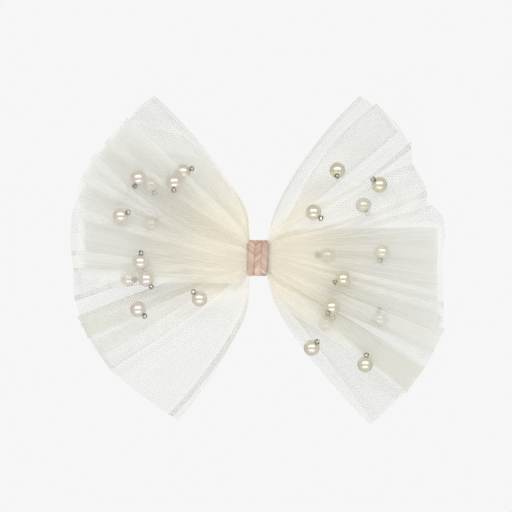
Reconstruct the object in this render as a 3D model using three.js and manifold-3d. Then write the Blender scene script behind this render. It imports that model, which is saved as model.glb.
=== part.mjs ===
// Pearl-trimmed tulle hair bow on a sprung alligator clip.
// Millimetres. +Z is up, the bow's face looks along -Y, the wings spread along X
// and the clip lies behind the knot. The origin is the gripping plane between the
// clip's two arms, behind the middle of the knot.
import * as THREE from 'three';
import * as BufferGeometryUtils from 'three/addons/utils/BufferGeometryUtils.js';
import Module from 'manifold-3d';

const wasm = await Module();
wasm.setup();

// ---------------------------------------------------------------- driving sizes
const PEARL_R = 3.0;          // 6 mm pearl
const PEARL_BORE_R = 0.45;
const SEED_R = 1.1;           // 11/0 seed bead, 2.2 mm across
const SEED_HALF = 0.72;       // half of its length along its hole
const SEED_BORE_R = 0.42;
const SEED_AWAY = 3.84;       // pearl centre to seed bead centre, along the stitch

const SHEET_COUNT = 6;        // layers of tulle
const SHEET_PITCH = 1.3;      // layer to layer, gathered in the knot
const SHEET_T_KNOT = 0.85;    // one gathered layer in the knot
const SHEET_T = 0.55;         // one pleated layer in the open wing
const SHEET_BACK_Y = -3.5;    // middle of the rearmost layer, in the knot
const GATHER_HALF = 5.0;      // half height of the gathered bundle
const GATHER_X = 4.7;         // the layers start to open at this distance from the middle
const EDGE_BULGE = 7.2;       // how far the inner edges bow towards the notches
const PLEAT = 1.1;            // soft wave of the open wings
// forward spread of each layer in the open wing, front layer first
const SPREAD = [18.6, 11.1, 3.6, 2.4, 1.2, 0.0];

const WRAP_T = 0.65;          // folded ribbon round the knot
const WRAP_X0 = -3.9, WRAP_X1 = 4.1;
const WRAP_Z = 6.75;          // half height outside
const WRAP_FRONT = -12.15, WRAP_BACK = 0.325;

const THREAD_T = 0.4;         // binding thread under the wrap
const THREAD_Z = 5.72;
const THREAD_FRONT = -11.2, THREAD_BACK = -2.3;
const THREAD_X = 2.6;

const ARM_HALF_W = 4.5;       // half width of the fixed arm
const ARM_X0 = -24.0, ARM_X1 = 24.0;
const STEEL = 0.7;            // sheet steel
const ARM_INNER = -0.6;       // gripping face of the fixed arm
const LINING_Y0 = -2.0, LINING_Y1 = -1.6;

const PIN_X = 10.0, PIN_Y = 1.7;
const PIN_R = 0.72, PIN_HOLE_R = 0.8;
const EAR_IN = 3.8;           // inner face of the fixed arm's ears
const LEVER_EAR_OUT = 3.45;   // outer face of the moving arm's ears
const LEVER_HALF_W = 4.3;
const LEVER_NECK = 3.4;
const LEVER_TIP_Y = -0.3;     // inner face at the tip
const LEVER_HINGE_Y = 4.0;    // inner face under the pin
const LEVER_TAIL_Y = 9.0;     // inner face at the tail's end
const COIL_R = 1.55, WIRE_R = 0.33, COIL_HALF = 1.6;

// ---------------------------------------------------------------- materials
const std = (color, roughness, metalness) =>
  new THREE.MeshStandardMaterial({ color: new THREE.Color(color), roughness, metalness });
const M = {
  tulle: std(0xe4ded0, 0.85, 0.0),
  wrap: std(0xd4b6a5, 0.5, 0.35),
  thread: std(0xe9e4d6, 0.8, 0.0),
  pearl: std(0xe2d8c4, 0.25, 0.0),
  seed: std(0x9a9284, 0.25, 0.6),
  steel: std(0xb9bcc0, 0.3, 0.9),
  spring: std(0xa7aaae, 0.35, 0.9),
  lining: std(0xe9e3d3, 0.75, 0.0),
};

const bow = new THREE.Group();
function add(name, geometry, material) {
  const mesh = new THREE.Mesh(geometry, material);
  mesh.name = name;
  bow.add(mesh);
  return mesh;
}

// ---------------------------------------------------------------- solids by cut and join
function solidOf(geometry) {
  let g = geometry.clone();
  g.deleteAttribute('normal');
  g.deleteAttribute('uv');
  g = BufferGeometryUtils.mergeVertices(g, 1e-4);
  return new wasm.Manifold(new wasm.Mesh({
    numProp: 3,
    vertProperties: new Float32Array(g.attributes.position.array),
    triVerts: new Uint32Array(g.index.array),
  }));
}
function geometryOf(solid) {
  const m = solid.getMesh();
  const g = new THREE.BufferGeometry();
  g.setAttribute('position', new THREE.BufferAttribute(new Float32Array(m.vertProperties), 3));
  g.setIndex(new THREE.BufferAttribute(new Uint32Array(m.triVerts), 1));
  g.computeVertexNormals();
  return g;
}
const flat = { bevelEnabled: false, curveSegments: 6 };
// an outline in X and Y, extruded along Z between z0 and z1
function alongZ(shape, z0, z1) {
  const g = new THREE.ExtrudeGeometry(shape, { ...flat, depth: z1 - z0 });
  g.translate(0, 0, z0);
  return g;
}
// an outline in X and Z, extruded along Y between y0 and y1
function alongY(shape, y0, y1) {
  const g = new THREE.ExtrudeGeometry(shape, { ...flat, depth: y1 - y0 });
  g.rotateX(Math.PI / 2);
  g.translate(0, y1, 0);
  return g;
}
function polygon(points) {
  const s = new THREE.Shape();
  points.forEach(([a, b], i) => (i ? s.lineTo(a, b) : s.moveTo(a, b)));
  s.closePath();
  return s;
}
function cylinderZ(x, y, r, z0, z1, segments) {
  const g = new THREE.CylinderGeometry(r, r, z1 - z0, segments);
  g.rotateX(Math.PI / 2);
  g.translate(x, y, (z0 + z1) / 2);
  return g;
}

// ---------------------------------------------------------------- the tulle
// cut length from the knot to the outer edge, against the angle from level, in degrees
const REACH = {
  left: [[-64, 69.2], [-41, 70.6], [-21, 73.4], [8, 72.2], [32, 73.5], [58, 73.7]],
  right: [[-57, 76.8], [-42, 76.0], [-20, 76.2], [-10, 71.4], [13, 71.8], [36, 71.6], [58, 73.4]],
};
function reach(side, deg) {
  const t = REACH[side];
  if (deg <= t[0][0]) return t[0][1];
  for (let i = 1; i < t.length; i++) {
    if (deg <= t[i][0]) {
      const f = (deg - t[i - 1][0]) / (t[i][0] - t[i - 1][0]);
      return t[i - 1][1] + f * (t[i][1] - t[i - 1][1]);
    }
  }
  return t[t.length - 1][1];
}
// lower and upper angle of each layer's fan, left and right, front layer first
const FAN = [
  { left: [-40, 57], right: [-56, 52], trim: 0.0 },
  { left: [-64, 50], right: [-40, 57.5], trim: 0.0 },
  { left: [-38, 40], right: [-50, 46], trim: 1.5 },
  { left: [-30, 55], right: [-46, 40], trim: 0.8 },
  { left: [-50, 35], right: [-38, 54], trim: 2.0 },
  { left: [-41, 52], right: [-54, 36], trim: 1.2 },
];
// how far a layer stands forward of its place in the knot
function openAt(x, z) {
  const d = Math.hypot(Math.max(0, Math.abs(x) - GATHER_X), Math.max(0, Math.abs(z) - GATHER_HALF));
  return 1 - Math.exp(-d / 9.0);
}
function waveAt(x, z) {
  const r = Math.hypot(x, z);
  const open = Math.min(1, Math.max(0, (r - 8) / 62));
  return PLEAT * open * (1 + Math.cos(7 * Math.atan2(z, Math.abs(x)) + (x < 0 ? 0.8 : 0.0)));
}
function layerY(i, x, z) {
  const y0 = SHEET_BACK_Y - SHEET_PITCH * (SHEET_COUNT - 1 - i);
  return y0 - SPREAD[i] * openAt(x, z) - waveAt(x, z);
}
const COLUMNS = [1, 0.74, 0.5, 0.32, 0.19, 0.1, 0.045, 0];
const STOPS = [
  ...COLUMNS.map((s) => ({ side: 'left', s })),
  ...[...COLUMNS].reverse().map((s) => ({ side: 'right', s })),
];
const ACROSS = 11;
function tulleLayer(i) {
  const nx = STOPS.length - 1;
  const g = new THREE.BoxGeometry(nx, 1, 2, nx, 1, ACROSS);
  const p = g.attributes.position;
  for (let k = 0; k < p.count; k++) {
    const col = Math.round(p.getX(k) + nx / 2);
    const face = p.getY(k);                     // -0.5 towards the front, 0.5 behind
    const u = p.getZ(k);                        // -1 at the lower edge, 1 at the upper edge
    const { side, s } = STOPS[col];
    const sign = side === 'left' ? -1 : 1;
    const [lo, hi] = FAN[i][side];
    const deg = lo + (hi - lo) * (u + 1) / 2;
    const r = reach(side, deg) - FAN[i].trim;
    const kx = sign * GATHER_X, kz = GATHER_HALF * u;
    const ox = sign * r * Math.cos(deg * Math.PI / 180), oz = r * Math.sin(deg * Math.PI / 180);
    const bulge = EDGE_BULGE * Math.abs(u) ** 3 * 4 * s * (1 - s);
    const x = kx + (ox - kx) * s - sign * bulge;
    const z = kz + (oz - kz) * s;
    const t = SHEET_T_KNOT + (SHEET_T - SHEET_T_KNOT) * Math.min(1, s / 0.045);
    p.setXYZ(k, x, layerY(i, x, z) + face * t, z);
  }
  g.deleteAttribute('uv');
  g.deleteAttribute('normal');
  const welded = BufferGeometryUtils.mergeVertices(g, 1e-4);
  welded.computeVertexNormals();
  return welded;
}
for (let i = 0; i < SHEET_COUNT; i++) add(`tulle_layer_${i + 1}`, tulleLayer(i), M.tulle);

// ---------------------------------------------------------------- knot
function ringOutline(y0, y1, zHalf, r) {
  const s = new THREE.Shape();
  s.moveTo(y0 + r, -zHalf);
  s.lineTo(y1 - r, -zHalf);
  s.absarc(y1 - r, -zHalf + r, r, -Math.PI / 2, 0, false);
  s.lineTo(y1, zHalf - r);
  s.absarc(y1 - r, zHalf - r, r, 0, Math.PI / 2, false);
  s.lineTo(y0 + r, zHalf);
  s.absarc(y0 + r, zHalf - r, r, Math.PI / 2, Math.PI, false);
  s.lineTo(y0, -zHalf + r);
  s.absarc(y0 + r, -zHalf + r, r, Math.PI, 1.5 * Math.PI, false);
  return s;
}
function loopRound(y0, y1, zHalf, r, t, x0, x1) {
  const s = ringOutline(y0, y1, zHalf, r);
  s.holes.push(ringOutline(y0 + t, y1 - t, zHalf - t, Math.max(0.05, r - t)));
  const g = new THREE.ExtrudeGeometry(s, { ...flat, depth: x1 - x0 });
  // outline's first axis is Y, its second is Z, and the extrusion runs along X
  g.applyMatrix4(new THREE.Matrix4().set(0, 0, 1, x0, 1, 0, 0, 0, 0, 1, 0, 0, 0, 0, 0, 1));
  return g;
}
add('knot_wrap', loopRound(WRAP_FRONT, WRAP_BACK, WRAP_Z, 1.0, WRAP_T, WRAP_X0, WRAP_X1), M.wrap);
add('binding_thread', loopRound(THREAD_FRONT, THREAD_BACK, THREAD_Z, 0.6, THREAD_T, -THREAD_X, THREAD_X), M.thread);

// ---------------------------------------------------------------- pearls and their seed beads
// [x, z] of the pearl's middle, [dx, dz] from it to its seed bead as seen from the front,
// and the layer that it is sewn on: 0 lies on the front layer, 1 under it, 2 under two layers
const PEARLS = [
  [-45.20, 30.22, -1.39, -3.27, 0],
  [-41.20, 28.11, 1.10, -2.60, 2],
  [-31.65, 28.76, -0.15, -3.35, 0],
  [-28.61, 32.92, 3.20, 0.96, 1],
  [-51.98, 15.98, 3.08, 1.35, 0],
  [-41.20, 13.09, 2.20, 1.60, 2],
  [-44.54, -1.42, 0.46, 3.58, 0],
  [-49.20, -7.82, 0.85, -0.12, 1],
  [-42.20, -7.82, 1.96, -3.20, 0],
  [-45.43, -19.33, 2.70, -2.62, 0],
  [-22.21, -15.40, -2.31, 2.70, 0],
  [29.91, 33.19, -0.19, -2.46, 0],
  [45.89, 27.72, -2.58, 2.00, 0],
  [40.23, 20.17, 1.35, -2.85, 1],
  [20.98, 17.44, 2.88, -2.43, 0],
  [26.57, 0.92, -3.74, 0.23, 2],
  [47.24, 2.31, -0.58, -2.39, 1],
  [32.19, -7.82, -3.31, -1.42, 0],
  [27.87, -18.48, -1.58, -2.46, 0],
  [26.03, -25.03, 2.08, 1.54, 2],
  [46.51, -23.25, -0.50, 2.93, 1],
  [20.25, -33.88, 2.08, 2.31, 0],
  [40.43, -40.12, 0.46, 3.73, 0],
];
function beadGeometry(r, half, bore, rings, segments) {
  // a rounded body of revolution about Y with a through hole; the profile closes on itself
  const pts = [];
  const a0 = Math.asin(bore / r);
  for (let k = 0; k <= rings; k++) {
    const a = a0 + (Math.PI - 2 * a0) * k / rings;
    pts.push(new THREE.Vector2(r * Math.sin(a), -half * Math.cos(a)));
  }
  pts[0].x = bore; pts[rings].x = bore;
  pts.push(pts[0].clone());
  return new THREE.LatheGeometry(pts, segments);
}
const UP = new THREE.Vector3(0, 1, 0);
PEARLS.forEach(([x, z, dx, dz, under], k) => {
  const flatAway = Math.hypot(dx, dz);
  const forward = Math.sqrt(Math.max(0.0, SEED_AWAY ** 2 - flatAway ** 2));
  // the seed bead of a covered pearl lies flatter, so that it stays between its two layers
  const dy = under === 0 ? -forward : -Math.min(forward, 1.0);
  const dir = new THREE.Vector3(dx, dy, dz).normalize();
  let y;
  if (under === 0) {
    let front = Infinity;
    for (const [ax, az] of [[0, 0], [2, 0], [-2, 0], [0, 2], [0, -2], [1.4, 1.4], [-1.4, 1.4], [1.4, -1.4], [-1.4, -1.4]]) {
      const lift = PEARL_R - Math.sqrt(PEARL_R ** 2 - ax * ax - az * az);
      front = Math.min(front, layerY(0, x + ax, z + az) + lift);
    }
    y = front - SHEET_T / 2 - 0.35 - PEARL_R;
  } else {
    y = (layerY(under - 1, x, z) + layerY(under, x, z)) / 2;
  }
  const id = String(k + 1).padStart(2, '0');
  const pearl = add(`pearl_${id}`, beadGeometry(PEARL_R, PEARL_R, PEARL_BORE_R, 7, 11), M.pearl);
  pearl.position.set(x, y, z);
  pearl.quaternion.setFromUnitVectors(UP, dir);
  const seed = add(`seed_bead_${id}`, beadGeometry(SEED_R, SEED_HALF, SEED_BORE_R, 5, 8), M.seed);
  seed.position.set(x, y, z).addScaledVector(dir, SEED_AWAY);
  seed.quaternion.copy(pearl.quaternion);
});

// ---------------------------------------------------------------- clip, fixed arm
function armOutline(x0, x1, w, rTip, rTail) {
  const s = new THREE.Shape();
  s.moveTo(x0 + rTip, -w);
  s.lineTo(x1 - rTail, -w);
  s.absarc(x1 - rTail, -w + rTail, rTail, -Math.PI / 2, 0, false);
  s.lineTo(x1, w - rTail);
  s.absarc(x1 - rTail, w - rTail, rTail, 0, Math.PI / 2, false);
  s.lineTo(x0 + rTip, w);
  s.absarc(x0 + rTip, w - rTip, rTip, Math.PI / 2, Math.PI, false);
  s.lineTo(x0, -w + rTip);
  s.absarc(x0 + rTip, -w + rTip, rTip, Math.PI, 1.5 * Math.PI, false);
  return s;
}
function earOutline(base, halfBase, r) {
  // an ear from the plate at y = base round the pin
  const s = new THREE.Shape();
  const up = base < PIN_Y;
  s.moveTo(PIN_X - halfBase, base);
  if (up) {
    s.lineTo(PIN_X + halfBase, base);
    s.lineTo(PIN_X + r, PIN_Y);
    s.absarc(PIN_X, PIN_Y, r, 0, Math.PI, false);
  } else {
    s.lineTo(PIN_X - r, PIN_Y);
    s.absarc(PIN_X, PIN_Y, r, Math.PI, 2 * Math.PI, false);
    s.lineTo(PIN_X + halfBase, base);
  }
  s.closePath();
  return s;
}
let arm = solidOf(alongY(armOutline(ARM_X0, ARM_X1, ARM_HALF_W, 3.2, 2.0), ARM_INNER - STEEL, ARM_INNER));
for (const side of [-1, 1]) {
  const z0 = side < 0 ? -ARM_HALF_W : EAR_IN, z1 = side < 0 ? -EAR_IN : ARM_HALF_W;
  arm = arm.add(solidOf(alongZ(earOutline(ARM_INNER - STEEL / 2, 3.0, 2.1), z0, z1)));
}
arm = arm.subtract(solidOf(cylinderZ(PIN_X, PIN_Y, PIN_HOLE_R, -6, 6, 20)));
add('clip_fixed_arm', geometryOf(arm), M.steel);

add('ribbon_lining', alongY(armOutline(ARM_X0 + 0.4, ARM_X1 - 0.4, ARM_HALF_W - 0.1, 3.0, 1.8), LINING_Y0, LINING_Y1), M.lining);

// ---------------------------------------------------------------- clip, moving arm
const K0 = PIN_X - 2.4, K1 = PIN_X + 2.2;      // the flat stretch under the pin
const leverSide = polygon([
  [ARM_X0, LEVER_TIP_Y], [K0, LEVER_HINGE_Y], [K1, LEVER_HINGE_Y], [ARM_X1, LEVER_TAIL_Y],
  [ARM_X1 - 0.28, LEVER_TAIL_Y + STEEL], [K1 - 0.12, LEVER_HINGE_Y + STEEL], [K0 - 0.05, LEVER_HINGE_Y + STEEL], [ARM_X0, LEVER_TIP_Y + STEEL],
]);
const neck0 = PIN_X - 4.6, neck1 = PIN_X + 4.6;
const w = LEVER_HALF_W, n = LEVER_NECK;
const leverPlan = polygon([
  [ARM_X0, -2.0], [ARM_X0 + 0.9, -3.3], [ARM_X0 + 2.6, -w], [neck0 - 1, -w], [neck0, -n], [neck1, -n], [neck1 + 1, -w], [ARM_X1 - 1.6, -w], [ARM_X1, -w + 1.6],
  [ARM_X1, w - 1.6], [ARM_X1 - 1.6, w], [neck1 + 1, w], [neck1, n], [neck0, n], [neck0 - 1, w], [ARM_X0 + 2.6, w], [ARM_X0 + 0.9, 3.3], [ARM_X0, 2.0],
]);
let lever = solidOf(alongZ(leverSide, -6, 6)).intersect(solidOf(alongY(leverPlan, -3, 12)));
for (const side of [-1, 1]) {
  const z0 = side < 0 ? -LEVER_EAR_OUT + 0.05 : LEVER_EAR_OUT - 0.05 - STEEL;
  lever = lever.add(solidOf(alongZ(earOutline(LEVER_HINGE_Y + STEEL / 2, 2.6, 1.9), z0, z0 + STEEL)));
}
// the serrated edges, turned towards the fixed arm
const slope = (LEVER_HINGE_Y - LEVER_TIP_Y) / (K0 - ARM_X0);
const onPlate = (x) => LEVER_TIP_Y + slope * (x - ARM_X0) + STEEL / 2;
const teeth = [];
const T0 = ARM_X0 + 4.6, TEETH = 6, PITCH = 2.0;
for (let k = 0; k < TEETH; k++) {
  const x = T0 + k * PITCH;
  teeth.push([x, ARM_INNER + 1.15], [x + PITCH / 2, ARM_INNER + 0.32]);
}
const T1 = T0 + TEETH * PITCH;
const teethOutline = polygon([...teeth, [T1, ARM_INNER + 1.15], [T1 + 0.4, onPlate(T1 + 0.4)], [T0 - 0.1, onPlate(T0 - 0.1)]]);
for (const side of [-1, 1]) {
  const z0 = side < 0 ? -w : w - STEEL;
  lever = lever.add(solidOf(alongZ(teethOutline, z0, z0 + STEEL)));
}
lever = lever.subtract(solidOf(cylinderZ(PIN_X, PIN_Y, PIN_HOLE_R, -6, 6, 20)));
add('clip_moving_arm', geometryOf(lever), M.steel);

// ---------------------------------------------------------------- hinge pin and spring
const pinProfile = [[0, -5.25], [1.15, -5.25], [1.3, -5.1], [1.3, -4.8], [PIN_R, -4.8], [PIN_R, 4.8], [1.3, 4.8], [1.3, 5.1], [1.15, 5.25], [0, 5.25]]
  .map(([a, b]) => new THREE.Vector2(a, b));
const pin = add('hinge_pin', new THREE.LatheGeometry(pinProfile, 14), M.steel);
pin.rotation.x = Math.PI / 2;
pin.position.set(PIN_X, PIN_Y, 0);

const wirePath = [];
wirePath.push(new THREE.Vector3(PIN_X + 7.6, PIN_Y - COIL_R - 0.12, -COIL_HALF));
wirePath.push(new THREE.Vector3(PIN_X + 4.6, PIN_Y - COIL_R - 0.06, -COIL_HALF));
wirePath.push(new THREE.Vector3(PIN_X + 1.8, PIN_Y - COIL_R, -COIL_HALF));
const TURNS = 3.5, PER_TURN = 12;
for (let k = 0; k <= TURNS * PER_TURN; k++) {
  const f = k / (TURNS * PER_TURN);
  const a = -Math.PI / 2 - f * TURNS * 2 * Math.PI;
  wirePath.push(new THREE.Vector3(PIN_X + COIL_R * Math.cos(a), PIN_Y + COIL_R * Math.sin(a), -COIL_HALF + 2 * COIL_HALF * f));
}
wirePath.push(new THREE.Vector3(PIN_X + 1.9, PIN_Y + COIL_R + 0.12, COIL_HALF));
wirePath.push(new THREE.Vector3(PIN_X + 4.6, PIN_Y + COIL_R + 1.05, COIL_HALF));
wirePath.push(new THREE.Vector3(PIN_X + 7.6, PIN_Y + COIL_R + 2.25, COIL_HALF));
const wireShape = new THREE.Shape();
for (let k = 0; k < 7; k++) {
  const a = k * 2 * Math.PI / 7;
  if (k) wireShape.lineTo(WIRE_R * Math.cos(a), WIRE_R * Math.sin(a));
  else wireShape.moveTo(WIRE_R * Math.cos(a), WIRE_R * Math.sin(a));
}
wireShape.closePath();
add('clip_spring', new THREE.ExtrudeGeometry(wireShape, {
  steps: 62, bevelEnabled: false, extrudePath: new THREE.CatmullRomCurve3(wirePath),
}), M.spring);

export default bow;
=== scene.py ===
# Pearl tulle hair bow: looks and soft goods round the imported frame.
import math
import random
import bpy
import numpy as np
from mathutils import Vector, Matrix


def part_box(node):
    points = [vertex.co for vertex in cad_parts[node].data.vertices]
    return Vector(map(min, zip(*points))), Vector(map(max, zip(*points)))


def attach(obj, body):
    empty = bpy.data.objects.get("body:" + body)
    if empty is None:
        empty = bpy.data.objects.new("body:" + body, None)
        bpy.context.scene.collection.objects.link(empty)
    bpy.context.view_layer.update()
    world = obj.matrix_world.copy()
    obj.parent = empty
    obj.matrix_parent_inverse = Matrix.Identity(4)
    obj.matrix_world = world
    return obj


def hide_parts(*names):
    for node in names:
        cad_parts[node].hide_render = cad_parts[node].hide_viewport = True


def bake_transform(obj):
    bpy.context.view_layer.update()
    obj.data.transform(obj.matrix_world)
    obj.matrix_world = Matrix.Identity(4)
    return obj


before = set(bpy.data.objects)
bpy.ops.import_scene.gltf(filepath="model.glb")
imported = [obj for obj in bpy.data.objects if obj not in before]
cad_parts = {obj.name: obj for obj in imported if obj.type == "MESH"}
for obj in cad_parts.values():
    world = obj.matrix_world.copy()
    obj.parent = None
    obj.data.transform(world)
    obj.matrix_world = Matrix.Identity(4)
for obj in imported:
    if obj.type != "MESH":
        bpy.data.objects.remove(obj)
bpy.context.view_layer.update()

MM = 0.001
scene = bpy.context.scene
ROOT = "bow"


# ------------------------------------------------------------------ helpers
def srgb(r, g, b):
    def f(c):
        c /= 255.0
        return c / 12.92 if c <= 0.04045 else ((c + 0.055) / 1.055) ** 2.4
    return (f(r), f(g), f(b), 1.0)


def mesh_object(name, verts, faces, smooth=True):
    me = bpy.data.meshes.new(name)
    me.from_pydata([tuple(v) for v in verts], [], [tuple(f) for f in faces])
    me.update()
    if smooth:
        me.shade_smooth()
    ob = bpy.data.objects.new(name, me)
    scene.collection.objects.link(ob)
    return ob


def grid_object(name, P, closed_u=False, closed_v=False):
    """A quad mesh over a (rows, cols, 3) array of points in metres."""
    n, m = P.shape[:2]
    idx = np.arange(n * m).reshape(n, m)
    a = idx if closed_u else idx[:-1]
    b = np.roll(idx, -1, 0) if closed_u else idx[1:]
    if closed_v:
        f = np.stack([a, np.roll(a, -1, 1), np.roll(b, -1, 1), b], -1).reshape(-1, 4)
    else:
        f = np.stack([a[:, :-1], a[:, 1:], b[:, 1:], b[:, :-1]], -1).reshape(-1, 4)
    me = bpy.data.meshes.new(name)
    me.vertices.add(n * m)
    me.vertices.foreach_set("co", P.reshape(-1).astype(np.float32))
    me.loops.add(f.size)
    me.loops.foreach_set("vertex_index", f.reshape(-1).astype(np.int32))
    me.polygons.add(len(f))
    me.polygons.foreach_set("loop_start", np.arange(0, f.size, 4, dtype=np.int32))
    me.update(calc_edges=True)
    me.shade_smooth()
    ob = bpy.data.objects.new(name, me)
    scene.collection.objects.link(ob)
    return ob, f


def point_attribute(ob, name, values):
    at = ob.data.attributes.new(name, "FLOAT", "POINT")
    at.data.foreach_set("value", np.asarray(values, np.float32).reshape(-1))


class Nodes:
    """Short hand for building a material's nodes."""
    def __init__(self, name):
        self.mat = bpy.data.materials.new(name)
        self.mat.use_nodes = True
        self.nt = self.mat.node_tree
        self.bsdf = self.nt.nodes["Principled BSDF"]

    def node(self, kind, **props):
        n = self.nt.nodes.new(kind)
        for k, v in props.items():
            setattr(n, k, v)
        return n

    def put(self, value, socket):
        if isinstance(value, bpy.types.NodeSocket):
            self.nt.links.new(value, socket)
        elif value is not None:
            socket.default_value = value

    def math(self, op, a, b=None, c=None, clamp=False):
        n = self.node("ShaderNodeMath", operation=op, use_clamp=clamp)
        for i, v in enumerate((a, b, c)):
            self.put(v, n.inputs[i])
        return n.outputs[0]

    def vmath(self, op, a, b=None, c=None):
        n = self.node("ShaderNodeVectorMath", operation=op)
        for i, v in enumerate((a, b, c)):
            self.put(v, n.inputs[i])
        return n.outputs["Value"] if op in ("DOT_PRODUCT", "LENGTH", "DISTANCE") else n.outputs[0]

    def attribute(self, name, out="Fac"):
        n = self.node("ShaderNodeAttribute", attribute_name=name)
        return n.outputs[out]

    def mix(self, factor, a, b):
        n = self.node("ShaderNodeMix", data_type="RGBA")
        self.put(factor, n.inputs[0])
        self.put(a, n.inputs[6])
        self.put(b, n.inputs[7])
        return n.outputs[2]

    def noise(self, vector, scale, detail=2.0, rough=0.5):
        n = self.node("ShaderNodeTexNoise")
        self.put(vector, n.inputs["Vector"])
        n.inputs["Scale"].default_value = scale
        n.inputs["Detail"].default_value = detail
        n.inputs["Roughness"].default_value = rough
        return n.outputs[0]

    def ramp(self, value, lo, hi, a=0.0, b=1.0):
        n = self.node("ShaderNodeMapRange")
        n.clamp = True
        self.put(value, n.inputs[0])
        for i, v in zip((1, 2, 3, 4), (lo, hi, a, b)):
            n.inputs[i].default_value = v
        return n.outputs[0]

    def bump(self, height, strength, distance):
        n = self.node("ShaderNodeBump")
        n.inputs["Strength"].default_value = strength
        n.inputs["Distance"].default_value = distance
        self.put(height, n.inputs["Height"])
        self.put(n.outputs[0], self.bsdf.inputs["Normal"])

    def object_coords(self):
        return self.node("ShaderNodeTexCoord").outputs["Object"]

    def set(self, **values):
        for k, v in values.items():
            self.put(v, self.bsdf.inputs[k.replace("_", " ")])


# ------------------------------------------------------------------ camera, light, floor
MM_PX = 0.385 * MM          # one picture element at the bow's depth
KNOT_PX = (258.0, 258.0)
CAM_D = 0.95
FACE_Y = -0.015
cam_data = bpy.data.cameras.new("camera")
cam = bpy.data.objects.new("camera", cam_data)
scene.collection.objects.link(cam)
scene.camera = cam
cam_data.sensor_width = 36.0
cam_data.lens = 36.0 * CAM_D / (512 * MM_PX)
cam_data.clip_start = 0.01
cam_data.clip_end = 20.0
cam.location = ((256 - KNOT_PX[0]) * MM_PX, FACE_Y - CAM_D, -(256 - KNOT_PX[1]) * MM_PX)
cam.rotation_euler = (math.radians(90), 0, 0)

WHITE = srgb(246, 246, 246)
world = bpy.data.worlds.new("studio")
scene.world = world
world.use_nodes = True
wn = world.node_tree
wn.nodes.clear()
w_out = wn.nodes.new("ShaderNodeOutputWorld")
w_mix = wn.nodes.new("ShaderNodeMixShader")
w_seen = wn.nodes.new("ShaderNodeBackground")
w_fill = wn.nodes.new("ShaderNodeBackground")
w_path = wn.nodes.new("ShaderNodeLightPath")
w_seen.inputs[0].default_value = WHITE
w_fill.inputs[0].default_value = (1.0, 1.0, 1.0, 1.0)
w_fill.inputs[1].default_value = 0.48
wn.links.new(w_path.outputs["Is Camera Ray"], w_mix.inputs[0])
wn.links.new(w_fill.outputs[0], w_mix.inputs[1])
wn.links.new(w_seen.outputs[0], w_mix.inputs[2])
wn.links.new(w_mix.outputs[0], w_out.inputs[0])


def softbox(name, azimuth, elevation, distance, width, height, power):
    """Azimuth 0 stands in front of the bow, 90 at its right side."""
    data = bpy.data.lights.new(name, "AREA")
    data.shape = "RECTANGLE"
    data.size, data.size_y = width, height
    data.energy = power
    ob = bpy.data.objects.new(name, data)
    scene.collection.objects.link(ob)
    a, e = math.radians(azimuth), math.radians(elevation)
    d = Vector((math.sin(a) * math.cos(e), -math.cos(a) * math.cos(e), math.sin(e)))
    ob.location = d * distance
    ob.rotation_euler = (-d).to_track_quat("-Z", "Y").to_euler()
    ob.visible_camera = False
    return ob


softbox("softbox_above", 0, 26, 0.90, 1.60, 0.42, 5.1)
softbox("softbox_below", 0, -40, 0.30, 0.44, 0.12, 0.105).data.spread = math.radians(100)
softbox("softbox_behind", 180, 24, 1.1, 1.3, 0.8, 2.5)

scene.view_settings.view_transform = "Standard"
scene.view_settings.look = "None"
scene.view_settings.exposure = 0.0
scene.view_settings.gamma = 1.0
scene.cycles.max_bounces = 40
scene.cycles.diffuse_bounces = 32
scene.cycles.glossy_bounces = 4
scene.cycles.transmission_bounces = 32
scene.cycles.transparent_max_bounces = 96

# pale floor, well below the bow
ang = np.linspace(0, 2 * math.pi, 97)[:-1]
rim = np.stack([0.42 * np.cos(ang), 0.42 * np.sin(ang), np.full(96, -0.22)], 1)
floor = mesh_object("floor", np.vstack([rim, [[0, 0, -0.22]]]), [(i, (i + 1) % 96, 96) for i in range(96)])
fm = Nodes("pale_floor")
fm.set(Base_Color=(0.80, 0.80, 0.80, 1.0), Roughness=0.9)
floor.data.materials.append(fm.mat)


# ------------------------------------------------------------------ materials
NET_PITCH = 1.04     # mm, across one cell
COVER = 0.34         # share of a single flat layer that the yarn covers


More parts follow.
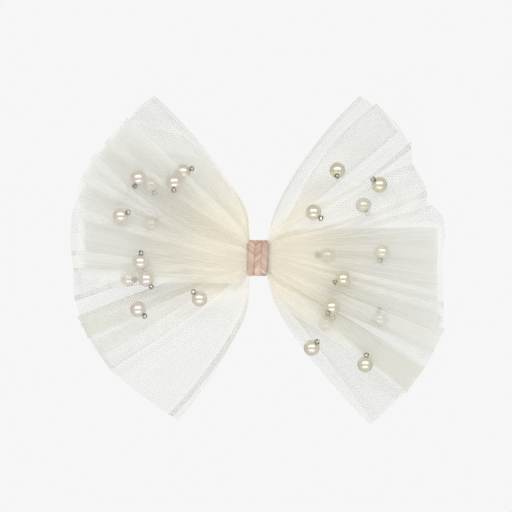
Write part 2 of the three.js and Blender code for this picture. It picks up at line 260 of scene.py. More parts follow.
def tulle_material():
    m = Nodes("tulle_net")
    uv = m.node("ShaderNodeUVMap", uv_map="cloth").outputs[0]     # cloth millimetres
    p = m.vmath("MULTIPLY", uv, (1 / NET_PITCH, 1 / NET_PITCH, 0.0))
    r = (1.0, 1.7320508, 1.0)
    h = (0.5, 0.8660254, 0.0)
    a = m.vmath("SUBTRACT", m.vmath("MODULO", m.vmath("ADD", p, (1000.0, 1732.0508, 0.0)), r), h)
    b = m.vmath("SUBTRACT", m.vmath("MODULO", m.vmath("ADD", p, (1000.5, 1732.9168, 0.0)), r), h)
    da = m.vmath("DOT_PRODUCT", a, a)
    db = m.vmath("DOT_PRODUCT", b, b)
    near_a = m.math("LESS_THAN", da, db)
    pick = m.node("ShaderNodeMix", data_type="VECTOR")
    m.put(near_a, pick.inputs[0])
    m.put(b, pick.inputs[4])
    m.put(a, pick.inputs[5])
    g = m.vmath("ABSOLUTE", pick.outputs[1])
    gx = m.node("ShaderNodeSeparateXYZ")
    m.put(g, gx.inputs[0])
    slanted = m.vmath("DOT_PRODUCT", g, (0.5, 0.8660254, 0.0))
    hexd = m.math("MAXIMUM", slanted, gx.outputs[0])                # 0 at a cell's middle, 0.5 on its wall
    half = 0.5 * (1 - math.sqrt(1 - COVER))
    thread = m.ramp(hexd, 0.5 - half - 0.04, 0.5 - half + 0.04, 0.18, 0.66)
    # where the cloth is gathered tight, cells no longer show one by one
    veil = m.attribute("veil")
    tight = m.attribute("tight")
    cover = m.math("ADD", thread, m.math("MULTIPLY", tight, m.math("SUBTRACT", COVER, thread)))
    clear = m.math("MULTIPLY", m.math("SUBTRACT", 1.0, cover), m.math("SUBTRACT", 1.0, veil))
    alpha = m.math("SUBTRACT", 1.0, clear, clamp=True)
    alpha = m.math("MULTIPLY", alpha, m.math("SUBTRACT", 1.0, m.attribute("thin")))
    warm = m.attribute("warm")
    fine = m.noise(m.vmath("MULTIPLY", uv, (0.35, 0.02, 0.0)), 1.0, 3.0)
    stack = m.attribute("stack")                                    # 0 where one layer lies alone, 1 where many lie together
    tone = m.mix(warm, srgb(249, 249, 246), srgb(255, 251, 238))
    tone = m.mix(m.ramp(fine, 0.35, 0.75, 0.0, 0.25), tone, srgb(240, 240, 234))
    # painted shade: yarn where one layer lies alone is painted darker and greyer, toward srgb(209, 210, 202); where
    # many layers lie together it keeps the light tone
    tone = m.mix(m.ramp(stack, 0.0, 0.75, 0.58, 0.0), tone, srgb(209, 210, 202))
    # painted shade: panels that lie turned from the light are painted toward a darker olive tone
    tone = m.mix(m.attribute("turned"), tone, srgb(216, 216, 198))   # panels that lie turned from the light
    m.set(Base_Color=tone, Roughness=0.82)
    m.bsdf.inputs["Specular IOR Level"].default_value = 0.12
    through = m.node("ShaderNodeBsdfTranslucent")
    m.put(tone, through.inputs["Color"])
    yarn = m.node("ShaderNodeMixShader")
    yarn.inputs[0].default_value = 0.28
    m.put(m.bsdf.outputs[0], yarn.inputs[1])
    m.put(through.outputs[0], yarn.inputs[2])
    gap = m.node("ShaderNodeBsdfTransparent")
    net = m.node("ShaderNodeMixShader")
    m.put(alpha, net.inputs[0])
    m.put(gap.outputs[0], net.inputs[1])
    m.put(yarn.outputs[0], net.inputs[2])
    out = [n for n in m.nt.nodes if n.type == "OUTPUT_MATERIAL"][0]
    m.put(net.outputs[0], out.inputs["Surface"])
    m.mat.use_transparent_shadow = True
    return m.mat


def pearl_material():
    m = Nodes("pearl_lacquer")
    co = m.object_coords()
    cloud = m.noise(co, 260.0, 3.0)
    tint = m.attribute("tint")
    base = m.mix(tint, srgb(238, 229, 217), srgb(230, 224, 198))
    base = m.mix(m.ramp(cloud, 0.3, 0.7, 0.0, 0.22), base, srgb(246, 238, 230))
    m.set(Base_Color=base, Roughness=0.24, Metallic=0.55)
    m.bsdf.inputs["Specular Tint"].default_value = (0.70, 0.63, 0.45, 1.0)
    m.bsdf.inputs["Coat Weight"].default_value = 0.8
    m.bsdf.inputs["Coat IOR"].default_value = 1.7
    m.bsdf.inputs["Coat Roughness"].default_value = 0.1
    m.bump(m.noise(co, 900.0, 2.0), 0.05, 0.00002)
    return m.mat


def seed_material():
    m = Nodes("silver_lined_seed")
    co = m.object_coords()
    cells = m.node("ShaderNodeTexVoronoi")
    m.put(co, cells.inputs["Vector"])
    cells.inputs["Scale"].default_value = 1500.0
    tone = m.mix(m.ramp(m.noise(co, 1200.0, 1.0), 0.35, 0.65), srgb(120, 116, 108), srgb(236, 232, 222))
    m.set(Base_Color=tone, Roughness=0.14, Metallic=0.9)
    m.bsdf.inputs["Coat Weight"].default_value = 1.0
    m.bsdf.inputs["Coat Roughness"].default_value = 0.04
    m.bump(cells.outputs["Distance"], 0.5, 0.0001)
    return m.mat


def ribbon_material():
    m = Nodes("rose_gold_lurex")
    co = m.object_coords()
    v = m.attribute("yarn")
    tone = m.mix(v, srgb(200, 162, 142), srgb(255, 236, 220))
    # painted highlight: small bright glints painted into the ribbon's colour at random spots
    glint_spots = m.node("ShaderNodeTexVoronoi")
    m.put(co, glint_spots.inputs["Vector"])
    glint_spots.inputs["Scale"].default_value = 5200.0
    painted_glint = m.ramp(glint_spots.outputs["Distance"], 0.0, 0.35, 1.0, 0.0)
    tone = m.mix(m.math("MULTIPLY", painted_glint, 0.35), tone, srgb(250, 232, 222))
    m.set(Base_Color=tone, Metallic=0.28, Roughness=m.ramp(m.noise(co, 3000.0, 2.0), 0.3, 0.7, 0.25, 0.6))
    m.bsdf.inputs["Sheen Weight"].default_value = 0.2
    m.bump(m.noise(co, 4200.0, 2.0), 0.6, 0.00012)
    return m.mat


def steel_material(name, tone, rough):
    m = Nodes(name)
    co = m.object_coords()
    brushed = m.noise(m.vmath("MULTIPLY", co, (120.0, 2200.0, 2200.0)), 1.0, 3.0)
    wear = m.noise(co, 380.0, 4.0)
    base = m.mix(m.ramp(wear, 0.5, 0.75, 0.0, 0.12), tone, srgb(180, 180, 180))
    m.set(Base_Color=m.mix(m.ramp(brushed, 0.3, 0.7, 0.0, 0.5), base, srgb(240, 240, 242)), Metallic=1.0, Roughness=m.ramp(brushed, 0.3, 0.7, rough, rough + 0.2))
    m.bump(brushed, 0.12, 0.00003)
    return m.mat


def cloth_material(name, a, b, freq, rough=0.8):
    m = Nodes(name)
    co = m.object_coords()
    n = m.noise(m.vmath("MULTIPLY", co, freq), 1.0, 3.0)
    m.set(Base_Color=m.mix(m.ramp(n, 0.3, 0.7), a, b), Roughness=rough)
    m.bsdf.inputs["Sheen Weight"].default_value = 0.25
    m.bump(n, 0.35, 0.00006)
    return m.mat


MAT_TULLE = tulle_material()
MAT_PEARL = pearl_material()
MAT_SEED = seed_material()
MAT_RIBBON = ribbon_material()
MAT_STEEL = steel_material("nickel_plate", srgb(216, 216, 218), 0.16)
MAT_SPRING = steel_material("spring_wire", srgb(190, 191, 194), 0.26)
MAT_THREAD = cloth_material("sewing_thread", srgb(238, 232, 216), srgb(222, 214, 196), (900.0, 900.0, 900.0))
MAT_LINING = cloth_material("grosgrain_lining", srgb(238, 232, 216), srgb(228, 220, 202), (300.0, 2400.0, 2400.0))


# ------------------------------------------------------------------ the tulle layers
SHEET_PITCH, SHEET_BACK_Y, GATHER_HALF, GATHER_X, PLEAT = 1.3, -3.5, 5.0, 4.7, 1.1
SPREAD = [18.6, 11.1, 3.6, 2.4, 1.2, 0.0]
HALF_LEN = 71.0       # from the knot's middle to a cut end
CUT_W = [114.0, 202.0, 143.0, 138.0, 123.0, 119.0]     # the cut width of each layer, gathered into the knot


def layer_y(i, x, z):
    """The middle of layer i as built, in mm."""
    d = np.hypot(np.maximum(0, np.abs(x) - GATHER_X), np.maximum(0, np.abs(z) - GATHER_HALF))
    opened = 1 - np.exp(-d / 9.0)
    r = np.hypot(x, z)
    wave = PLEAT * np.clip((r - 8) / 62, 0, 1) * (1 + np.cos(7 * np.arctan2(z, np.abs(x)) + np.where(x < 0, 0.8, 0.0)))
    return SHEET_BACK_Y - SHEET_PITCH * (5 - i) - SPREAD[i] * opened - wave


# The outer cut edge of each layer in each wing: corners in order from the cloth's upper edge to its lower edge, as
# (angle above level in degrees, reach in mm, depth in mm, early bow, middle bow). An angle that turns back is a pleat.
def knife(top, bottom, reach, length, seed, at_top=None, at_bottom=None, clear=()):
    """Knife pleats of uneven width between two angles, about length mm along the cut edge. None starts in a clear range."""
    rnd = random.Random(seed)
    per_deg = 70.0 * math.pi / 180
    spare = max(0.0, length / per_deg - (top - bottom)) / 2
    n = max(4, int(round((top - bottom) / 6.5)))
    cuts, weights = [], []
    for k in range(n):
        at = top + (bottom - top) * (k + 0.5 + rnd.uniform(-0.3, 0.3)) / n
        w = rnd.uniform(0.5, 1.5)
        if not any(lo <= at <= hi for lo, hi in clear):
            cuts.append(at)
            weights.append(w)
    total = sum(weights)
    out = list(at_top) if at_top else [(top - 1.6, reach(top) - 0.3, 0.6, 0, 0), (top, reach(top), 0.0, 0, 0)]
    for at, w in zip(cuts, weights):
        back = spare * w / total
        out.append((at - back * 0.5, reach(at - back * 0.5), 0.45, 0, 0))
        out.append((at + back * 0.5, reach(at + back * 0.5) - rnd.uniform(0, 0.4), 0.0, 0, 0))
    return out + (list(at_bottom) if at_bottom else [(bottom, reach(bottom), 0.0, 0, 0)])


def table_reach(pairs):
    xs, ys = [p[0] for p in pairs], [p[1] for p in pairs]
    return lambda a: float(np.interp(a, xs, ys))


def upright(x, pairs):
    """A cut edge that stands straight at x between the first and last angle of the middle part."""
    far = table_reach(pairs)
    return lambda a: min(far(a), x / math.cos(math.radians(a))) if -16 < a < 17 else far(a)


OUT_L = [(-64, 69.0), (-57, 68.7), (-48, 69.1), (-37, 71.0), (-31, 71.0), (-26, 72.2), (-19, 72.8), (-14, 72.3), (-3.6, 70.7), (7, 72.5), (13, 73.4), (20, 73.2), (30, 74.0), (33, 73.8), (39, 72.6), (47, 72.5), (51, 73.8), (58, 73.6)]
OUT_R = [(-57, 76.7), (-54, 76.7), (-42.3, 76.1), (-33, 76.0), (-28.6, 75.8), (-21, 76.6), (-18, 74.5), (-14, 73.2), (0, 70.0), (7, 72.0), (13, 72.4), (16.4, 69.0), (21, 68.6), (31.3, 68.6), (37, 73.6), (44, 74.0), (52.5, 74.4), (58, 73.3)]

LAYERS = [
    {   # 1, front
        "left": [(45.2, 72.2, 0.5, 0, 0), (47.0, 72.6, 0, 0, 0), (36.8, 72.6, 0.5, 0, -1), (38.9, 72.6, 0, 0, -1), (30.2, 73.7, 0.5, -1.8, -5.0), (32.7, 73.8, 0, -1.8, -5.2),
                 (23.6, 73.4, 0.5, 0, -1.5), (26.6, 73.6, 0, 0, -2.0), (20.2, 73.1, 0, 0, -1), (12.6, 70.2, 0.5, 0, 0), (15.4, 70.9, 0, 0, 0), (-0.3, 68.7, 0.5, 0, 0), (2.2, 68.8, 0, 0, 0), (-5.6, 68.8, 0.5, 0, 0), (-3.3, 68.8, 0, 0, 0),
                 (-10.3, 68.6, 0.2, 0.4, -2.2), (-11.8, 68.7, 0, 0.6, -2.5)],
        "right": [(29.3, 68.4, 0.6, -0.4, 2.0), (31.3, 68.7, 0, -0.4, 2.0), (23.2, 69.4, 0, -1.0, 0.5), (20.0, 68.5, 0.5, -2.3, -0.6), (21.8, 68.9, 0, -2.3, -0.6),
                  (16.4, 67.3, 0, 0, 0), (9.4, 68.2, 0.2, 0, 0), (-8.8, 69.0, 0, 0, 0), (-12.3, 69.6, 0.5, 0, 0), (-10.4, 69.4, 0, 0, 0), (-16.4, 71.8, 0.5, 0, 0), (-14.6, 71.2, 0, 0, 0),
                  (-28.4, 75.5, 0.6, 0.9, -0.8), (-22.6, 75.3, 0, 0, 0), (-28.7, 75.7, 0, 0.9, -0.8), (-33.2, 75.8, 0, 0.5, -1), (-42.0, 75.8, 0.7, 4.2, -0.7), (-33.4, 75.6, 0.3, 0.5, -1.0), (-42.3, 76.1, 0, 4.2, -0.7)],
    },
    {   # 2
        "left": [(56.0, 73.0, 0.6, 1.8, 3.6), (57.4, 73.7, 0, 1.8, 3.6), (51.3, 73.7, 0, 1.0, 2.0), (46.9, 72.2, 0, 0, 0), (38.8, 72.1, 0, 0, 0), (32.7, 72.9, 0, 0, 0), (20.3, 72.6, 0, 0, 0), (13.4, 73.3, 0, 0, 0), (6.8, 72.5, 0, 0, 0),
                 (0.8, 71.3, 0.4, 0, 0), (2.2, 71.5, 0, 0, 0), (-4.6, 70.7, 0.4, 0, 0), (-3.2, 70.7, 0, 0, 0), (-13.3, 72.0, 0.4, 0.4, -2.0), (-11.9, 71.8, 0, 0.6, -2.5),
                 (-25.3, 72.2, 0.6, -2.2, 2.1), (-17.9, 72.6, 0, -0.6, -0.9), (-31.2, 71.0, 0.2, 0, 1.0), (-37.1, 70.9, 0.6, 0.5, 1.3), (-29.5, 71.6, 0.3, 0, 1.0), (-20.5, 72.6, 0.2, -1.0, 0), (-37.6, 70.9, 0, 0.5, 1.2),
                 (-47.9, 69.1, 0, 0.5, 1.0), (-57.4, 68.7, 0, 1.8, 2.2), (-61.6, 69.0, 0.4, 3.2, 3.6), (-60.2, 68.8, 0, 3.0, 3.4), (-63.8, 69.1, 0, 2.9, 3.3)],
        "right": [(56.5, 72.9, 0.6, 0.8, 3.4), (57.8, 73.3, 0, 0.8, 3.4), (52.4, 73.3, 0.2, -1.0, 4.0), (42.0, 72.1, 0.7, 0, 0), (52.5, 74.4, 0, -3.8, 4.7), (44.2, 74.0, 0, -1.0, 1.0), (41.6, 73.4, 0, 0, 0), (35.5, 72.2, 0.6, 3.0, -1.5), (37.3, 73.6, -0.2, 5.1, -3.0),
                  (31.0, 68.9, 0.2, 0, 0), (23.2, 69.2, 0.2, -1, 0), (20.3, 68.6, 0.5, -2.3, -0.6), (22.0, 68.8, 0, -2.3, -0.6), (15.2, 67.4, 0.4, 0, 0), (16.9, 69.8, 0, 0, 0), (12.8, 72.5, 0, 0, 0), (6.8, 72.1, 0, 0, 0), (0.1, 70.0, 0, 0, 0),
                  (-6.0, 71.0, 0, 0, 0), (-15.2, 73.5, 0.5, 0, 0), (-13.4, 73.2, 0, 0, 0), (-19.3, 75.0, 0.5, 0, 0), (-17.7, 74.4, 0, 0, 0), (-22.3, 76.3, 0.5, 0, 0), (-20.8, 76.7, 0, 0, 0), (-29.2, 75.9, 0.4, 0, 0), (-27.6, 75.9, 0, 0, 0),
                  (-34.4, 76.0, 0.5, 0, -0.5), (-33.0, 76.1, 0, 0.4, -1), (-42.3, 76.2, 0, 1.5, 0), (-54.0, 76.7, 0, 1.5, 2.0), (-56.0, 76.7, 0, 2.0, 2.7)],
    },
    {   # 3
        "left": knife(44.0, -3.8, upright(67.4, OUT_L), 150, 31, at_top=[(55.2, 72.6, 0.6, 1.5, 3.0), (56.6, 73.2, 0, 1.6, 3.3), (50.0, 73.2, 0, 0.8, 1.4)]),
        "right": knife(9.4, -20.0, upright(69.4, [(p, q - 0.5) for p, q in OUT_R]), 62, 32) + [(-28.0, 75.3, 0.3, 0.5, -0.5), (-41.4, 75.6, 0.6, 3.5, -0.5), (-34.0, 75.5, 0.2, 0.5, -1.0), (-42.6, 75.8, 0, 3.0, -0.7), (-53.0, 75.9, 0, 0.5, 0), (-54.8, 75.9, 0, 0.1, -0.3)],
    },
    {   # 4
        "left": knife(43.0, -3.6, upright(67.2, [(p, q - 0.6) for p, q in OUT_L]), 128, 41, at_top=[(56.4, 55.0, 0.5, 1.2, 3.0), (58.0, 56.5, 0, 1.4, 3.4), (46.9, 71.2, 0, 0, 0)]),
        "right": knife(9.5, -28.2, upright(69.3, [(p, q - 0.8) for p, q in OUT_R]), 142, 42),
    },
    {   # 5
        "left": knife(36.0, -3.8, upright(67.0, [(p, q - 1.0) for p, q in OUT_L]), 104, 51, at_top=[(57.6, 44.0, 0.5, 1.0, 2.6), (59.6, 45.0, 0, 1.2, 3.0), (38.6, 70.6, 0, 0, 0)]),
        "right": knife(9.6, -8.9, upright(69.5, OUT_R), 128, 52),
    },
    {   # 6
        "left": knife(33.6, -3.5, upright(67.3, [(p, q - 0.7) for p, q in OUT_L]), 124, 61),
        "right": knife(9.2, -21.0, upright(69.2, [(p, q - 0.9) for p, q in OUT_R]), 126, 62),
    },
]


def smooth(t):
    t = np.clip(t, 0, 1)
    return t * t * (3 - 2 * t)


def wing_rows(i, side, n_cols, cycles, rng, s_rows):
    """One wing of layer i from the knot outwards: its points (rows, cols, 3) in mm, which pleat panel each column of faces is in,
    and the way each panel's cloth lies."""
    corners = np.array(LAYERS[i][side], float)
    ang = np.radians(corners[:, 0])
    sign = -1.0 if side == "left" else 1.0
    xz = np.stack([sign * corners[:, 1] * np.cos(ang), corners[:, 1] * np.sin(ang)], 1)
    step = np.hypot(*np.diff(xz, axis=0).T)
    run = np.concatenate([[0], np.cumsum(step)])
    length = run[-1]
    hh = np.linspace(0, 1, n_cols)
    # every corner gets a column of its own, so that each fold is crisp
    for r in run[1:-1] / length:
        k = int(np.argmin(np.abs(hh - r)))
        if 0 < k < n_cols - 1:
            hh[k] = r
    hh = np.sort(hh)
    q = hh * length
    ox, oz, oy, b1, b2 = (np.interp(q, run, c) for c in (xz[:, 0], xz[:, 1], corners[:, 2], corners[:, 3], corners[:, 4]))
    turn = np.sign(np.diff(corners[:, 0]))
    panel_of_seg = np.concatenate([[0], np.cumsum(turn[1:] != turn[:-1])])
    seg = np.clip(np.searchsorted(run, (q[:-1] + q[1:]) / 2) - 1, 0, len(step) - 1)
    panel = panel_of_seg[seg]
    lie = []
    for p in range(panel_of_seg[-1] + 1):
        at = np.where(panel_of_seg == p)[0]
        d = xz[at[-1] + 1] - xz[at[0]]
        a = math.atan2(d[1], d[0]) + rng.uniform(-0.08, 0.08)
        lie.append((math.cos(a), math.sin(a), 1.0 if turn[at[0]] < 0 else -1.0, rng.uniform(0, 40), rng.uniform(0, 40)))
    crease = np.zeros(n_cols)
    turned = np.where(turn[1:] != turn[:-1])[0] + 1
    for r in list(run[turned] / length) + [0.0, 1.0]:
        crease[int(np.argmin(np.abs(hh - r)))] = 1.0
    # pleats are deeper between the knot and the cut edge than at the cut edge itself
    deep_at = np.concatenate([[0.0], run[turned], [length]])
    deep_by = np.concatenate([[0.0], -turn[turned] * rng.uniform(0.7, 1.3, len(turned)) * DEEP[i], [0.0]])
    deep = np.interp(q, deep_at, deep_by)
    u = 1 - 2 * hh
    kx, kz = np.full(n_cols, sign * 4.2), 9.8 * u
    tx, tz = np.full(n_cols, sign * 3.2), 5.35 * u
    dx, dz = ox - kx, oz - kz
    dist = np.hypot(dx, dz)
    nx, nz = -dz / dist, dx / dist
    flip = np.where(nz * np.sign(oz + 1e-9) < 0, -1.0, 1.0)
    nx, nz = nx * flip, nz * flip
    wob = np.cumsum(np.interp(hh, np.linspace(0, 1, 90), rng.uniform(0.55, 1.45, 90)))
    turns = wob / wob[-1] * cycles
    phase = turns * 2 * math.pi + rng.uniform(0, 6.28)
    at = np.arange(cycles + 3)
    strength = np.interp(turns, at, rng.uniform(0.7, 1.2, cycles + 3))
    die = np.interp(turns, at, rng.uniform(0.62, 1.0, cycles + 3))
    dens = np.gradient(turns, hh) / cycles
    rows, even = [], []
    for s in s_rows:
        f1 = (s / 0.24) * math.exp(1 - s / 0.24) * (1 - s) ** 0.6
        f2 = 4 * s * (1 - s)
        hold = math.exp(-(s / 0.028) ** 2)
        off = b1 * f1 + b2 * f2
        more = deep * (s / 0.36) * math.exp(1 - s / 0.36) * (1 - s) ** 0.5
        x = kx + dx * s + nx * off + (tx - kx) * hold - dz / dist * sign * more
        z = kz + dz * s + nz * off + (tz - kz) * hold + dx / dist * sign * more
        wide = 11.0 + (length - 11.0) * s
        wave = wide / cycles / dens
        amp = (0.08 + (RIPPLE - 0.08) * smooth((s - 0.16) / 0.25)) * wave * strength * (1 - smooth((s / die - 0.55) / 0.45))
        amp = np.minimum(amp, 0.75)
        base = layer_y(i, x, z) + oy * s - BULGE[i] * math.exp(-((s - 0.012) / 0.04) ** 2)
        even.append(np.stack([x, base, z], 1))
        # inside the ribbon loop the cloth is squeezed into deep, even folds
        squeezed = (0.40 if i == 0 else 0.52) * hold ** 9 * np.cos(2 * math.pi * cycles * np.linspace(0, 1, n_cols)) * np.minimum(1, np.minimum(hh, 1 - hh) / 0.01)
        rows.append(np.stack([x, base + squeezed + amp * (1 - hold) * np.cos(phase), z], 1))
    return np.array(rows), np.array(even), panel, lie, length, crease


RIPPLE = 0.20
DEEP = [0.5, 0.7, 1.2, 1.3, 1.6, 1.4]
# bands of folds that lie turned from the light, painted darker as painted shade: wing, lower and upper angle, how much
PAINTED_SHADE_BANDS = [(1, -43, -33, 0.34), (1, -29, -21, 0.12), (-1, -26, -17, 0.27), (-1, -33, -26, 0.30), (-1, 33, 48, 0.12), (1, -19, -17, 0.2), (-1, -4.5, -2.5, 0.3), (-1, 1.5, 3, 0.2)]
BULGE = [1.35, 1.0, 0.7, 0.45, 0.2, 0.0]      # how far the cloth puffs forward as it leaves the ribbon loop, mm


def shape(i):
    """The folded cloth of layer i."""
    rng = np.random.default_rng(700 + i)
    cut_w = CUT_W[i]
    cycles = int(cut_w * 0.32)
    n_cols = cycles * 8 + 1
    s_rows = np.linspace(0, 1, 44) ** 1.35
    sides = [wing_rows(i, side, n_cols, cycles, rng, s_rows) for side in ("left", "right")]
    P = np.concatenate([sides[0][0][::-1], sides[1][0]], 0)
    Q = np.concatenate([sides[0][1][::-1], sides[1][1]], 0)
    v = np.concatenate([-s_rows[::-1] * HALF_LEN, s_rows * HALF_LEN])
    u = np.linspace(0, cut_w, n_cols)
    return cut_w, n_cols, s_rows, sides, P, Q, u, v


SHAPES = [shape(i) for i in range(6)]

# how many layers of cloth lie over each other, seen from the front, on a 1.5 mm grid
CELL, GRID = 1.5, 140
STACK = np.zeros((GRID, GRID))
for _, _, _, _, P_, _, u_, v_ in SHAPES:
    mid = 0.25 * (P_[:-1, :-1] + P_[1:, :-1] + P_[:-1, 1:] + P_[1:, 1:])
    cloth_area = np.diff(v_)[:, None] * np.diff(u_)[None, :]
    ix = np.clip((mid[..., 0] / CELL + GRID / 2).astype(int), 0, GRID - 1)
    iz = np.clip((mid[..., 2] / CELL + GRID / 2).astype(int), 0, GRID - 1)
    np.add.at(STACK, (ix.ravel(), iz.ravel()), cloth_area.ravel() / CELL ** 2)
for _ in range(2):
    STACK = 0.4 * STACK + 0.15 * (np.roll(STACK, 1, 0) + np.roll(STACK, -1, 0) + np.roll(STACK, 1, 1) + np.roll(STACK, -1, 1))


def stacked(P):
    fx = np.clip(P[..., 0] / CELL + GRID / 2 - 0.5, 0, GRID - 2)
    fz = np.clip(P[..., 2] / CELL + GRID / 2 - 0.5, 0, GRID - 2)
    a, b = fx.astype(int), fz.astype(int)
    p, q = fx - a, fz - b
    return STACK[a, b] * (1 - p) * (1 - q) + STACK[a + 1, b] * p * (1 - q) + STACK[a, b + 1] * (1 - p) * q + STACK[a + 1, b + 1] * p * q


def tulle(i):
    cut_w, n_cols, s_rows, sides, P, Q, u, v = SHAPES[i]
    ob, faces = grid_object(f"tulle_{i + 1}", P * MM)
    A, B, D = P[:-1, :-1], P[1:, :-1], P[:-1, 1:]
    cross = np.cross(B - A, D - A)
    area = np.linalg.norm(cross, axis=2)
    # how much cloth one piece of mesh stands for
    flat = np.diff(v)[:, None] * np.diff(u)[None, :]
    ratio = np.clip(flat / np.maximum(area, 1e-4), 1.0, 40.0)
    R = np.zeros(P.shape[:2]); W = np.zeros(P.shape[:2])
    for a in (0, 1):
        for b in (0, 1):
            R[a:a + ratio.shape[0], b:b + ratio.shape[1]] += ratio
            W[a:a + ratio.shape[0], b:b + ratio.shape[1]] += 1
    R = R / W
    veil = 1 - (1 - COVER) ** (np.maximum(R - 1.25, 0) * 0.85)
    # a fold or a cut edge is a thicker line of yarn
    line = np.concatenate([np.repeat(sd[5][None, :], len(s_rows), 0) for sd in sides], 0)
    veil = 1 - (1 - veil) * (1 - 0.32 * line)
    rad = np.hypot(P[..., 0], P[..., 2])
    layers = stacked(P)
    streak = np.random.default_rng(40 + i).standard_normal(n_cols)
    for _ in range(2):
        streak = 0.5 * streak + 0.25 * (np.roll(streak, 1) + np.roll(streak, -1))
    streak = np.clip(streak * 1.4, -1, 1)[None, :] * np.clip(1.35 - rad / 62.0, 0.15, 1)
    # soft bands where gathers run together, and a few pressed-in fold lines
    draw = np.random.default_rng(60 + i)
    band = draw.standard_normal(n_cols)
    bell = np.exp(-(np.arange(-18, 19) / 6.0) ** 2)
    band = np.convolve(band, bell / np.sqrt(np.sum(bell ** 2)), "same").clip(-1.6, 1.6)[None, :]
    pressed = np.zeros(n_cols)
    for c in draw.choice(n_cols - 4, n_cols // 17, replace=False) + 2:
        k = draw.uniform(0.5, 1.0)
        pressed[c] += k
        pressed[c + 1] -= 0.55 * k
    reach_ = np.clip((rad - 8) / 22, 0, 1)
    veil = np.clip(1 - (1 - veil) * (1 - 0.08 * streak) * (1 - 0.075 * band * reach_) * (1 - 0.24 * pressed[None, :] * reach_), -0.12, 1)
    # cloth drawn over a pearl or seed bead lies flat, one thickness deep
    over = np.zeros(P.shape[:2])
    for k in range(1, 24):
        for node, reach in ((f"pearl_{k:02d}", 2.2), (f"seed_bead_{k:02d}", 0.8)):
            lo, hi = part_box(node)
            c = [(a + b) / 2 / MM for a, b in zip(lo, hi)]
            d = np.hypot(P[..., 0] - c[0], P[..., 2] - c[2])
            over = np.maximum(over, (1 - smooth((d - reach) / 1.0)) * (P[..., 1] < c[1]))
    veil = veil * (1 - 0.9 * over)
    point_attribute(ob, "veil", veil)
    point_attribute(ob, "thin", np.clip(0.22 * over * (layers - 2.0) / 3.0, 0, 0.22))
    theta = np.degrees(np.arctan2(P[..., 2], np.abs(P[..., 0])))
    # how much painted shade each point's yarn gets, from the bands of folds turned from the light
    turned = np.zeros(P.shape[:2])
    for wing, low, high, much in PAINTED_SHADE_BANDS:
        inside = smooth((theta - low) / 1.5) * smooth((high - theta) / 1.5) * (P[..., 0] * wing > 0)
        turned = np.maximum(turned, much * inside * np.clip((rad - 14) / 20, 0, 1))
    point_attribute(ob, "turned", turned)
    # how crowded the layers are; the net's yarn is painted darker where one layer lies alone (painted shade)
    point_attribute(ob, "stack", np.clip((layers - 1.0) / 4.0, 0, 1))
    point_attribute(ob, "tight", np.clip(np.maximum((R - 1.25) / 1.6, (layers - 2.4) / 3.0), 0, 0.9))
    point_attribute(ob, "warm", np.clip(1.36 - rad / 38.0, 0, 1) * np.clip((layers - 0.6) / 4.0, 0.2, 1))
    # the net lies true in each panel: its rows run along that panel's cut edge
    n_rows = len(s_rows)
    uv = np.zeros((P.shape[0] - 1, n_cols - 1, 4, 2))
    for half, (rows_, _, panel, lie, _, _) in enumerate(sides):
        lie_a = np.array([lie[p] for p in panel])
        sl = slice(0, n_rows - 1) if half == 0 else slice(n_rows, 2 * n_rows - 1)
        Z = Q[:n_rows] if half == 0 else Q[n_rows:]
        X2 = Z[..., [0, 2]]
        quad = np.stack([X2[:-1, :-1], X2[:-1, 1:], X2[1:, 1:], X2[1:, :-1]], 2)
        c, sn, m, o1, o2 = (lie_a[:, k][None, :, None] for k in range(5))
        uv[sl, :, :, 0] = (quad[..., 0] * c + quad[..., 1] * sn) * m + o1
        uv[sl, :, :, 1] = -quad[..., 0] * sn + quad[..., 1] * c + o2
    uvl = ob.data.uv_layers.new(name="cloth")
    uvl.data.foreach_set("uv", uv.astype(np.float32).reshape(-1))
    # yarn is round, so the net's tone follows the broad lie of the cloth more than each small gather
    gx = np.zeros(P.shape); e = 0.3
    X, Zc = Q[..., 0], Q[..., 2]
    dydx = (layer_y(i, X + e, Zc) - layer_y(i, X - e, Zc)) / (2 * e)
    dydz = (layer_y(i, X, Zc + e) - layer_y(i, X, Zc - e)) / (2 * e)
    broad = np.stack([dydx, -np.ones_like(dydx), dydz], -1)
    broad /= np.linalg.norm(broad, axis=2)[..., None]
    broad = broad * 0.25 + np.array([0.0, -0.75, 0.0])
    nf = cross / np.maximum(area, 1e-9)[..., None]
    side_ = np.where(nf[..., 1] > 0, -1.0, 1.0)      # the mesh's own side of each face
    corner = np.stack([broad[:-1, :-1], broad[:-1, 1:], broad[1:, 1:], broad[1:, :-1]], 2)
    fn = (nf * side_[..., None])[:, :, None, :]
    N = (corner * 0.9 + fn * 0.1) * side_[:, :, None, None]
    geo = np.cross(P[:-1, 1:] - P[:-1, :-1], P[1:, :-1] - P[:-1, :-1])      # the winding used by grid_object
    if np.mean(np.sum(geo * cross, -1)) < 0:
        N = -N
    N = N.reshape(-1, 3)
    N /= np.linalg.norm(N, axis=1)[:, None]
    ob.data.normals_split_custom_set(N.astype(np.float32))
    ob.data.materials.append(MAT_TULLE)
    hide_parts(f"tulle_layer_{i + 1}")
    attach(ob, ROOT)
    print("tulle", i + 1, "faces", len(faces), "edge left", round(sides[0][4], 1), "right", round(sides[1][4], 1), "area share", round(float(area.sum()) / (cut_w * 2 * HALF_LEN), 3))
    return ob


for i in range(6):
    tulle(i)


